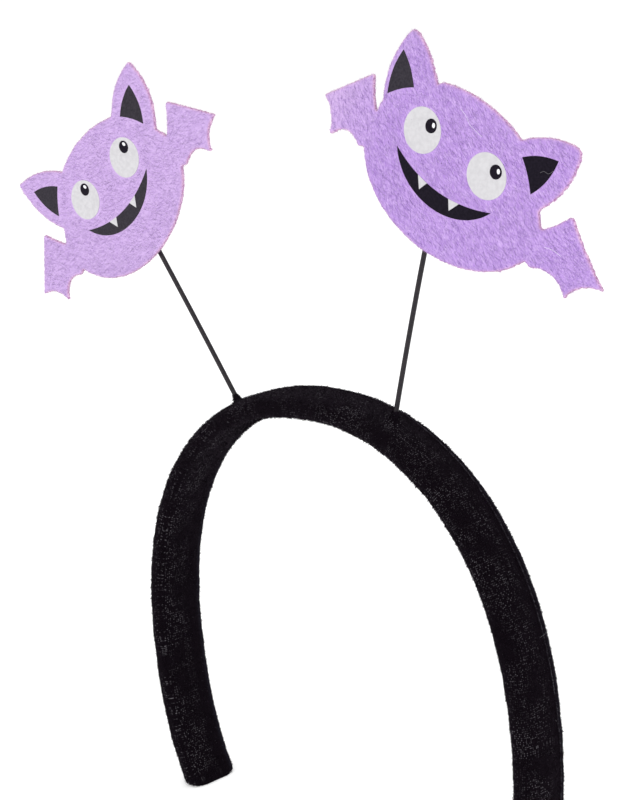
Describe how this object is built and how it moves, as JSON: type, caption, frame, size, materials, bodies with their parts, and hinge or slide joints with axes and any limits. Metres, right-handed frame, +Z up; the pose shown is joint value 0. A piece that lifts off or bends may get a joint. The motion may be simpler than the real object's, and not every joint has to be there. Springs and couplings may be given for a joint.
{
  "type": "head bopper",
  "caption": "Velvet-wrapped headband with thin wire stalks that hold flat felt bats with printed faces above the wearer's head.",
  "frame": {"origin": "on the floor under the middle of the whole part's box; the band stands on its two cut tips", "axes": "+Z up through the crown of the band, +X to the viewer's right along the arch, -Y the side that the printed faces look to"},
  "size_m": [0.2066, 0.0172, 0.2163],
  "materials": {
    "velvet": "short black velvet pile",
    "wire": "satin black coating",
    "felt": "lilac felt with brushed fibres",
    "glue": "smooth, half clear",
    "print_black": "flat printed film, black",
    "print_white": "flat printed film, off-white"
  },
  "bodies": {
    "root": {"headband": "velvet", "stalk_right": "wire", "bat_right": "felt", "glue_right": "glue", "mouth_right": "print_black", "inner_ear_a_right": "print_black", "eye_white_a_right": "print_white", "pupil_a_right": "print_black", "eye_glint_a_right": "print_white", "fang_a_right": "print_white", "inner_ear_b_right": "print_black", "eye_white_b_right": "print_white", "pupil_b_right": "print_black", "eye_glint_b_right": "print_white", "fang_b_right": "print_white", "stalk_left": "wire", "bat_left": "felt", "glue_left": "glue", "mouth_left": "print_black", "inner_ear_a_left": "print_black", "eye_white_a_left": "print_white", "pupil_a_left": "print_black", "eye_glint_a_left": "print_white", "fang_a_left": "print_white", "inner_ear_b_left": "print_black", "eye_white_b_left": "print_white", "pupil_b_left": "print_black", "eye_glint_b_left": "print_white", "fang_b_left": "print_white"}
  },
  "joints": []
}
